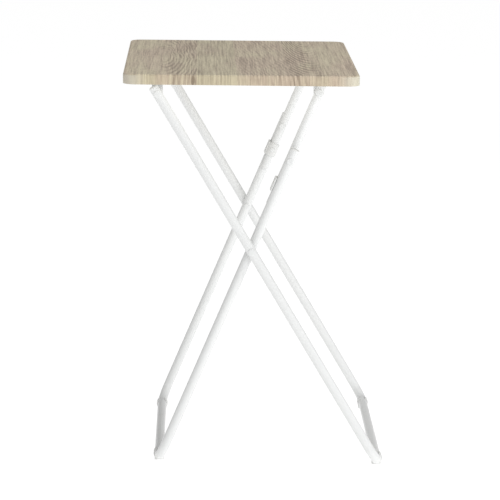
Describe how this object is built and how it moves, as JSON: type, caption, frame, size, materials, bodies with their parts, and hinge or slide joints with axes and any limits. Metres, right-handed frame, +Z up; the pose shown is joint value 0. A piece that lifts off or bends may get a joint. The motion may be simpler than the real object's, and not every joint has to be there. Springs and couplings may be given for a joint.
{
  "type": "folding tray table",
  "caption": "Small folding table: an oak-decor board on two crossed steel tube frames, held open by over-centre brace arms.",
  "frame": {"origin": "on the floor, under the middle of the box that holds the open table", "axes": "+X to the right along the tray, +Y to the rear along its depth, +Z up"},
  "size_m": [0.441, 0.484, 0.67],
  "materials": {
    "fibreboard": "medium density fibreboard, sawn",
    "oak_decor": "printed oak decor foil, satin, greyed straight and cathedral grain",
    "backing": "plain balancing foil, matt",
    "white_steel": "white powder coat, semi-gloss with a fine orange peel",
    "white_plastic": "white moulded plastic, satin",
    "rivets": "steel rivet, white coated over the head",
    "zinc_screws": "zinc-plated steel"
  },
  "bodies": {
    "outer_legs": {"outer_leg_frame": "white_steel", "outer_cap_front": "white_plastic", "outer_cap_rear": "white_plastic", "outer_glide_front": "white_plastic", "outer_glide_rear": "white_plastic", "leg_pivot_rivet_front": "rivets", "leg_pivot_rivet_rear": "rivets", "leg_pivot_washer_front": "white_plastic", "leg_pivot_washer_rear": "white_plastic"},
    "tray": {"tray_core": "fibreboard", "decor_foil": "oak_decor", "backing_sheet": "backing", "bracket_screws": "zinc_screws", "leg_bracket_front": "white_steel", "leg_bracket_rear": "white_steel", "brace_bracket_front": "white_steel", "brace_bracket_rear": "white_steel", "leg_hinge_rivet_front": "rivets", "leg_hinge_rivet_rear": "rivets", "brace_hinge_rivet_front": "rivets", "brace_hinge_rivet_rear": "rivets", "leg_hinge_washer_front": "white_plastic", "leg_hinge_washer_rear": "white_plastic", "brace_hinge_washer_front": "white_plastic", "brace_hinge_washer_rear": "white_plastic"},
    "inner_legs": {"inner_leg_frame": "white_steel", "inner_cap_front": "white_plastic", "inner_cap_rear": "white_plastic", "inner_glide_front": "white_plastic", "inner_glide_rear": "white_plastic", "brace_screw_front": "rivets", "brace_screw_rear": "rivets"},
    "front_brace": {"brace_arm_front": "white_steel", "brace_tail_cap_front": "white_plastic", "brace_top_cap_front": "white_plastic", "stop_clip_front": "white_plastic", "clip_rivet_front": "rivets", "brace_nut_front": "rivets", "brace_washer_front": "white_plastic"},
    "rear_brace": {"brace_arm_rear": "white_steel", "brace_tail_cap_rear": "white_plastic", "brace_top_cap_rear": "white_plastic", "stop_clip_rear": "white_plastic", "clip_rivet_rear": "rivets", "brace_nut_rear": "rivets", "brace_washer_rear": "white_plastic"}
  },
  "joints": [
    {"name": "leg_fold", "type": "hinge", "parent": "outer_legs", "child": "inner_legs", "pos_m": [-0.00741, 0, 0.3739], "axis": [0, -1, 0], "range_deg": [0, 53.59]},
    {"name": "tray_fold", "type": "hinge", "parent": "outer_legs", "child": "tray", "pos_m": [-0.1645, 0, 0.6355], "axis": [0, 1, 0], "range_deg": [0, 59.03]},
    {"name": "front_brace_fold", "type": "hinge", "parent": "tray", "child": "front_brace", "pos_m": [0.1015, 0, 0.6355], "axis": [0, 1, 0], "range_deg": [0, 67.41]},
    {"name": "rear_brace_fold", "type": "hinge", "parent": "tray", "child": "rear_brace", "pos_m": [0.1015, 0, 0.6355], "axis": [0, 1, 0], "range_deg": [0, 67.41]}
  ],
  "couplings": [
    {"joint": "tray_fold", "follows": "leg_fold", "ratio": 1.1013},
    {"joint": "front_brace_fold", "follows": "leg_fold", "ratio": 1.2577},
    {"joint": "rear_brace_fold", "follows": "leg_fold", "ratio": 1.2577}
  ]
}
